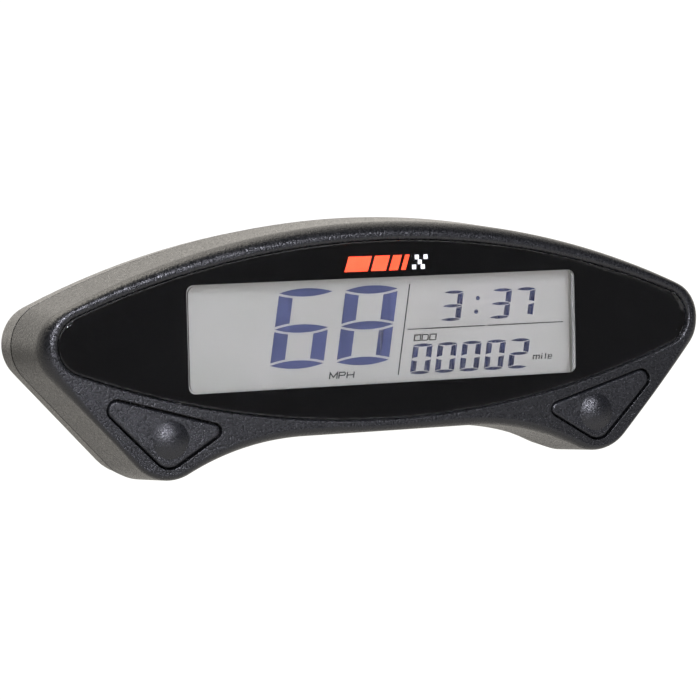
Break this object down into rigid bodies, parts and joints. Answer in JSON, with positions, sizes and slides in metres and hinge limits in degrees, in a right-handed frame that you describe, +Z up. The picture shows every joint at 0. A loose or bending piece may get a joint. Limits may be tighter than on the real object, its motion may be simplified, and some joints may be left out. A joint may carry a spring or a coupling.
{
  "type": "motorcycle instrument cluster",
  "caption": "Wing-shaped handlebar speedometer: a wide black lens over a liquid crystal display, with a triangular push button in each lower lobe.",
  "frame": {"origin": "midway between the two rear mounting inserts, on the face that meets the bracket", "axes": "+X to the rider's right, +Z up, the display faces -Y, +Y is the way the mounting bolts leave"},
  "size_m": [0.144, 0.0281, 0.0486],
  "materials": {
    "case_plastic": "moulded black, fine grain",
    "button_plastic": "moulded dark grey, coarse grain",
    "lens_clear": "clear acrylic, polished",
    "mask_print": "black screen print behind the lens",
    "orange_print": "orange screen print",
    "white_print": "white screen print",
    "tape": "black foam",
    "gasket_foam": "light grey foam",
    "seal_rubber": "black silicone",
    "display_glass": "clear display glass",
    "polarizer_film": "clear film",
    "display_ground": "silver grey transflective film",
    "digit_ink": "switched liquid crystal, slate blue",
    "legend_ink": "switched liquid crystal, dark grey",
    "white_plastic": "white",
    "contact_elastomer": "striped elastomer",
    "board_laminate": "green solder mask",
    "chip_plastic": "moulded black",
    "ceramic": "fired ceramic",
    "can_metal": "plated",
    "plunger_plastic": "white",
    "lamp_white": "phosphor and white moulding",
    "steel": "zinc plated",
    "brass": "turned"
  },
  "bodies": {
    "root": {"front_bezel": "case_plastic", "rear_housing": "case_plastic", "housing_seal": "seal_rubber", "lens": "lens_clear", "lens_mask": "mask_print", "lens_tape": "tape", "orange_stripes": "orange_print", "white_checks": "white_print", "display_gasket": "gasket_foam", "front_polarizer": "polarizer_film", "front_glass": "display_glass", "cell_seal": "display_glass", "lcd_digits": "digit_ink", "lcd_legends": "legend_ink", "rear_glass": "display_glass", "rear_polarizer": "display_ground", "light_guide": "white_plastic", "reflector_sheet": "white_plastic", "display_tray": "white_plastic", "contact_strip": "contact_elastomer", "main_board": "board_laminate", "microcontroller": "chip_plastic", "display_driver": "chip_plastic", "voltage_regulator": "chip_plastic", "protection_diode": "chip_plastic", "ceramic_capacitors": "ceramic", "resistors": "ceramic", "crystal": "can_metal", "supply_capacitor": "can_metal", "wire_header": "white_plastic", "header_pins": "brass", "case_screws": "steel", "board_screws": "steel", "mount_inserts": "brass", "cable_grommet": "seal_rubber", "breather_vent": "chip_plastic", "backlight_lamp_1": "lamp_white", "backlight_lamp_2": "lamp_white", "backlight_lamp_3": "lamp_white", "backlight_lamp_4": "lamp_white", "right_switch_base": "chip_plastic", "right_switch_cover": "can_metal", "right_snap_dome": "can_metal", "left_switch_base": "chip_plastic", "left_switch_cover": "can_metal", "left_snap_dome": "can_metal"},
    "right_button": {"right_button_cap": "button_plastic", "right_switch_boot": "seal_rubber", "right_switch_plunger": "plunger_plastic"},
    "left_button": {"left_button_cap": "button_plastic", "left_switch_boot": "seal_rubber", "left_switch_plunger": "plunger_plastic"}
  },
  "joints": [
    {"name": "right_button_press", "type": "slide", "parent": "root", "child": "right_button", "axis": [0, 1, 0], "range_m": [0, 0.0005], "stiffness_N_per_m": 2500, "springref_m": -0.0004},
    {"name": "left_button_press", "type": "slide", "parent": "root", "child": "left_button", "axis": [0, 1, 0], "range_m": [0, 0.0005], "stiffness_N_per_m": 2500, "springref_m": -0.0004}
  ]
}
